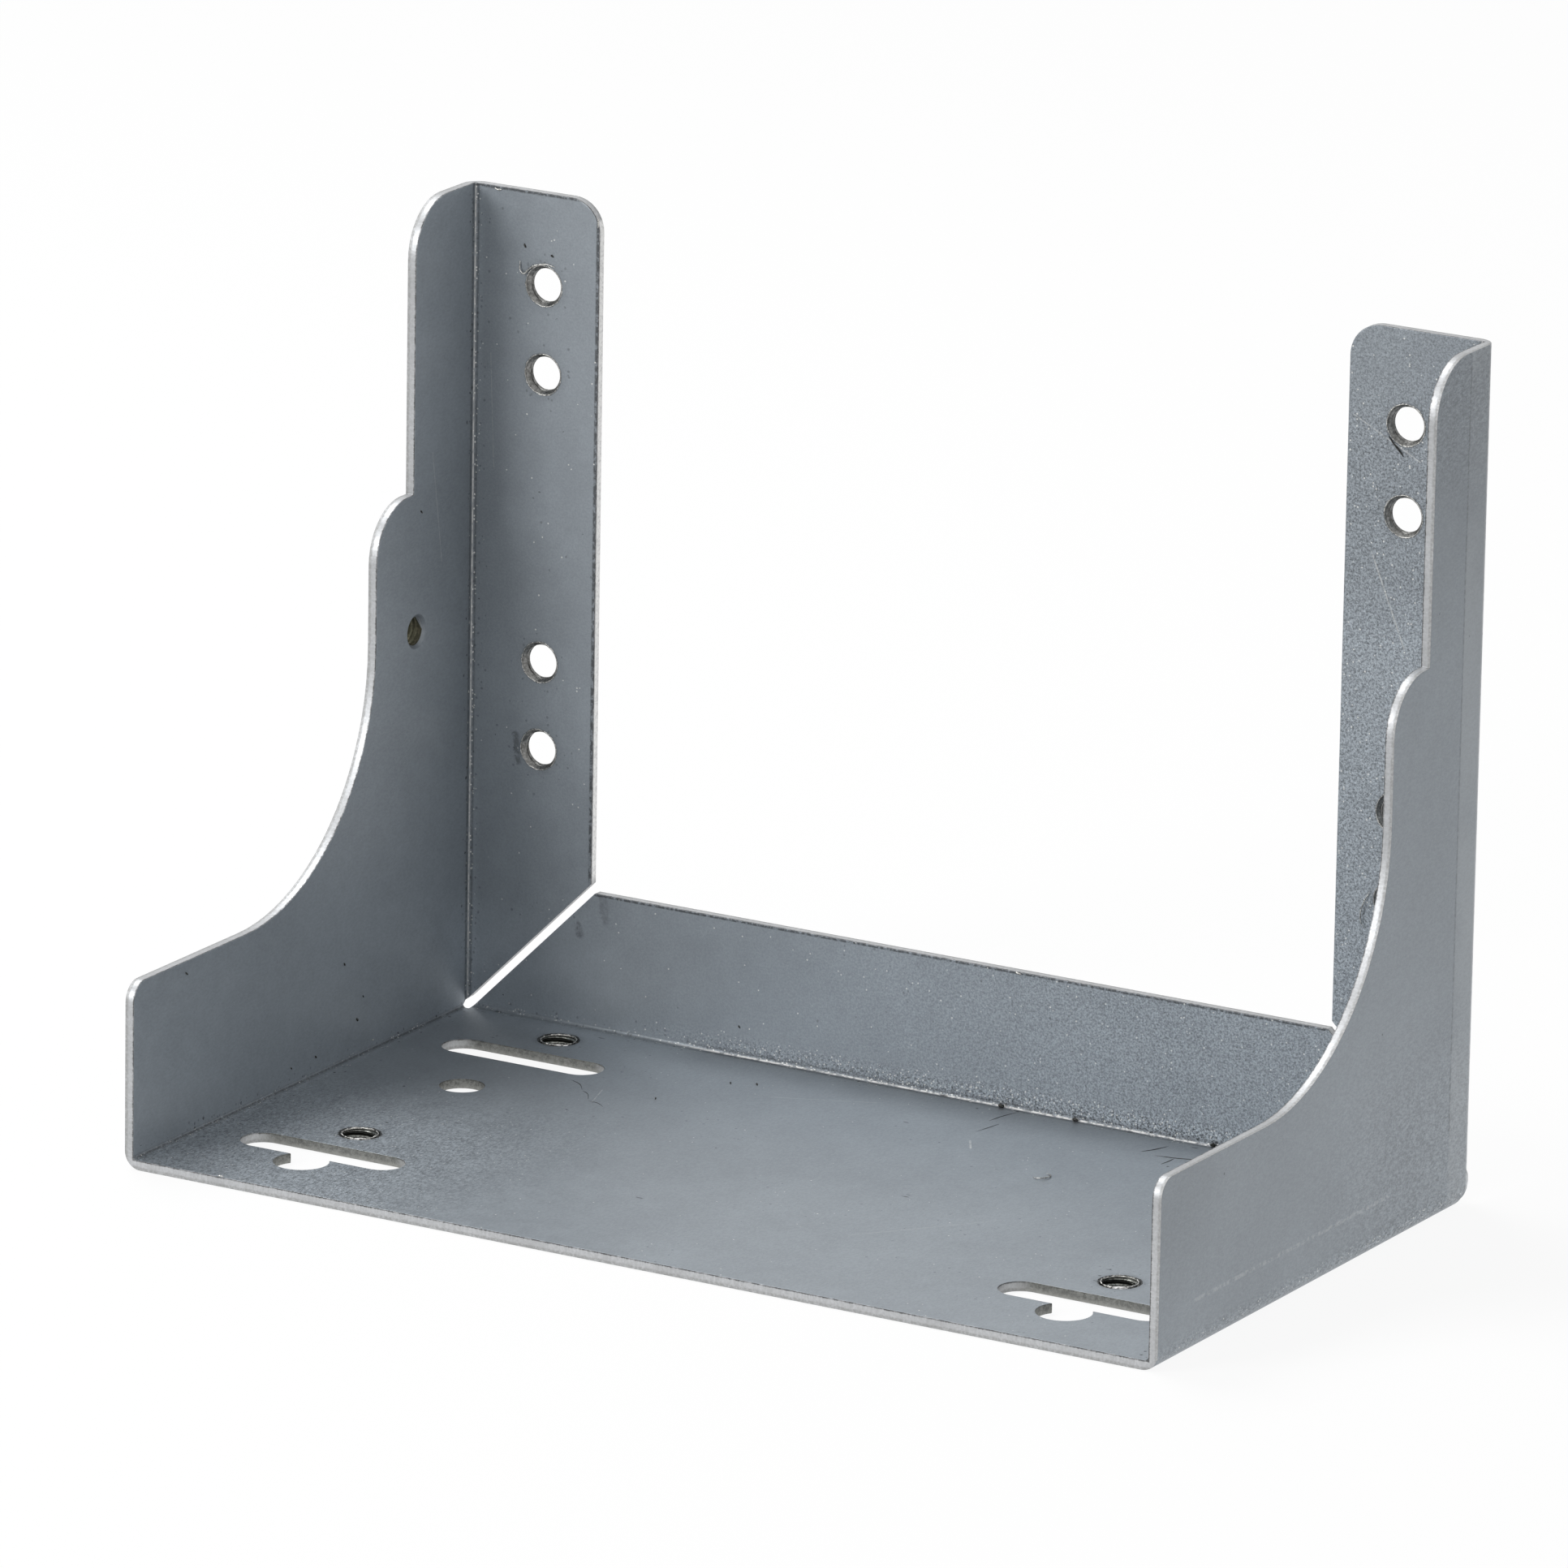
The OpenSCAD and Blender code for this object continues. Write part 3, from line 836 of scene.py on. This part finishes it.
def make_burrs():
    """Bright rims and swarf, then the dark ones, in one piece."""
    rng = random.Random(31)
    bm = bmesh.new()
    for mouth, down, bore, _, _ in HOLES:
        if down.y > 0:
            burr_rim(bm, rng, mouth, down, bore + 0.55, 0.115)
        elif down.z < 0:
            burr_rim(bm, rng, mouth + down * 0.05, down, bore + 0.12, 0.16, 0.5)
    for corners, thick in SWARF:
        lay(bm, rng, corners, thick)
    bright = len(bm.faces)
    # In the base holes a dark rim goes round each mouth, and a burr at the exit is dark as
    # painted shade inside the hole
    for mouth, down, bore, _, length in HOLES:
        if down.z < 0:
            far_end = mouth + down * (length - 0.16)
            burr_rim(bm, rng, mouth + down * 0.03, down, bore + 0.60, 0.10)
            burr_rim(bm, rng, far_end, down, bore - 0.02, 0.15, 0.0)
    for corners, thick in FLECKS:
        lay(bm, rng, corners, thick)
    bmesh.ops.recalc_face_normals(bm, faces=bm.faces)
    for index, face in enumerate(bm.faces):
        face.material_index = 0 if index < bright else 1
    burrs = new_object("burrs", bm)
    burrs.data.materials.append(bright_burr())
    burrs.data.materials.append(dark_swarf_and_shade())
    finish_mesh(burrs, 60)
    return burrs


sheet = make_bracket()
sort_faces(sheet)
finish_mesh(sheet)
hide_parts("bracket")
burrs = make_burrs()
for piece in (sheet, burrs):
    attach(piece, "root")


# Camera, light and floor

def make_camera():
    """The photograph's camera, worked out from the bracket's right angles."""
    azimuth, elevation, roll = 0.5284548, 0.2809167, -0.0167272
    place = Vector((0.9990478, -1.7168048, 0.6323635))
    focal_px, picture_px = 18096.6477, 1932
    ahead = Vector((-math.sin(azimuth) * math.cos(elevation),
                    math.cos(azimuth) * math.cos(elevation),
                    -math.sin(elevation)))
    level = Vector((math.cos(azimuth), math.sin(azimuth), 0.0))
    down = ahead.cross(level)
    right = math.cos(roll) * level + math.sin(roll) * down
    below = math.cos(roll) * down - math.sin(roll) * level
    data = bpy.data.cameras.new("camera")
    data.sensor_width = 36.0
    data.lens = data.sensor_width * focal_px / picture_px
    data.clip_end = 20.0
    made = bpy.data.objects.new("camera", data)
    made.matrix_world = Matrix((
        (right.x, -below.x, -ahead.x, place.x),
        (right.y, -below.y, -ahead.y, place.y),
        (right.z, -below.z, -ahead.z, place.z),
        (0, 0, 0, 1)))
    bpy.context.scene.collection.objects.link(made)
    bpy.context.scene.camera = made


def make_lamp(name, way, distance, size, power):
    """A softbox in direction way from the bracket, facing it."""
    data = bpy.data.lights.new(name, "AREA")
    data.shape = "RECTANGLE"
    data.size, data.size_y = size
    data.energy = power
    made = bpy.data.objects.new(name, data)
    way = Vector(way).normalized()
    centre = Vector((0, 0, 0.05))
    made.matrix_world = (Matrix.Translation(centre + way * distance)
                         @ way.to_track_quat("Z", "Y").to_matrix().to_4x4())
    bpy.context.scene.collection.objects.link(made)


def seen_direct(tree):
    """1 for the rays that should meet the white background."""
    path = node(tree, "ShaderNodeLightPath").outputs
    return highest(tree, path["Is Camera Ray"], path["Is Glossy Ray"],
                   path["Is Transmission Ray"])


def make_world():
    world = bpy.data.worlds.new("studio")
    bpy.context.scene.world = world
    world.use_nodes = True
    tree = world.node_tree
    back = tree.nodes["Background"]
    back.inputs["Color"].default_value = (1, 1, 1, 1)
    link(tree, ramp(tree, seen_direct(tree), 0, 1, 0.48, 0.85),
         back.inputs["Strength"])


def make_floor():
    """A white floor, a hair below the bracket so that their faces don't
    coincide."""
    drop = 0.05 * MM
    bm = bmesh.new()
    bmesh.ops.create_circle(bm, cap_ends=True, segments=64, radius=6.0,
                            matrix=Matrix.Translation((0, 0, -drop)))
    floor = new_object("floor", bm)
    made = bpy.data.materials.new("white_floor")
    made.use_nodes = True
    tree = made.node_tree
    shader = tree.nodes["Principled BSDF"]
    shader.inputs["Base Color"].default_value = (1, 1, 1, 1)
    shader.inputs["Roughness"].default_value = 1.0
    shader.inputs["Specular IOR Level"].default_value = 0.0
    place = node(tree, "ShaderNodeNewGeometry").outputs["Position"]
    away = node(tree, "ShaderNodeVectorMath", {0: place},
                operation="LENGTH").outputs["Value"]
    # For the other rays the floor glows, most near the bracket, as painted bounce light
    # onto it
    bounce_glow = ramp(tree, away, 0.1, 0.7, 1.0, 0.55)
    camera_ray = node(tree, "ShaderNodeLightPath").outputs["Is Camera Ray"]
    glow = node(tree, "ShaderNodeEmission",
                {"Strength": highest(tree, bounce_glow, camera_ray)})
    share = ramp(tree, seen_direct(tree), 0, 1, 0.65, 0.90)
    mixed = node(tree, "ShaderNodeMixShader",
                 {0: share, 1: shader.outputs[0], 2: glow.outputs[0]})
    link(tree, mixed.outputs[0], tree.nodes["Material Output"].inputs[0])
    floor.data.materials.append(made)


make_camera()
make_world()
make_floor()
make_lamp("front_left_softbox", way=(-0.48, -0.76, 0.43), distance=1.2,
          size=(0.5, 0.4), power=5.8)
make_lamp("top_softbox", way=(-0.48, 0.175, 0.857), distance=1.2,
          size=(0.6, 0.5), power=6.0)
bpy.context.scene.view_settings.view_transform = "Standard"
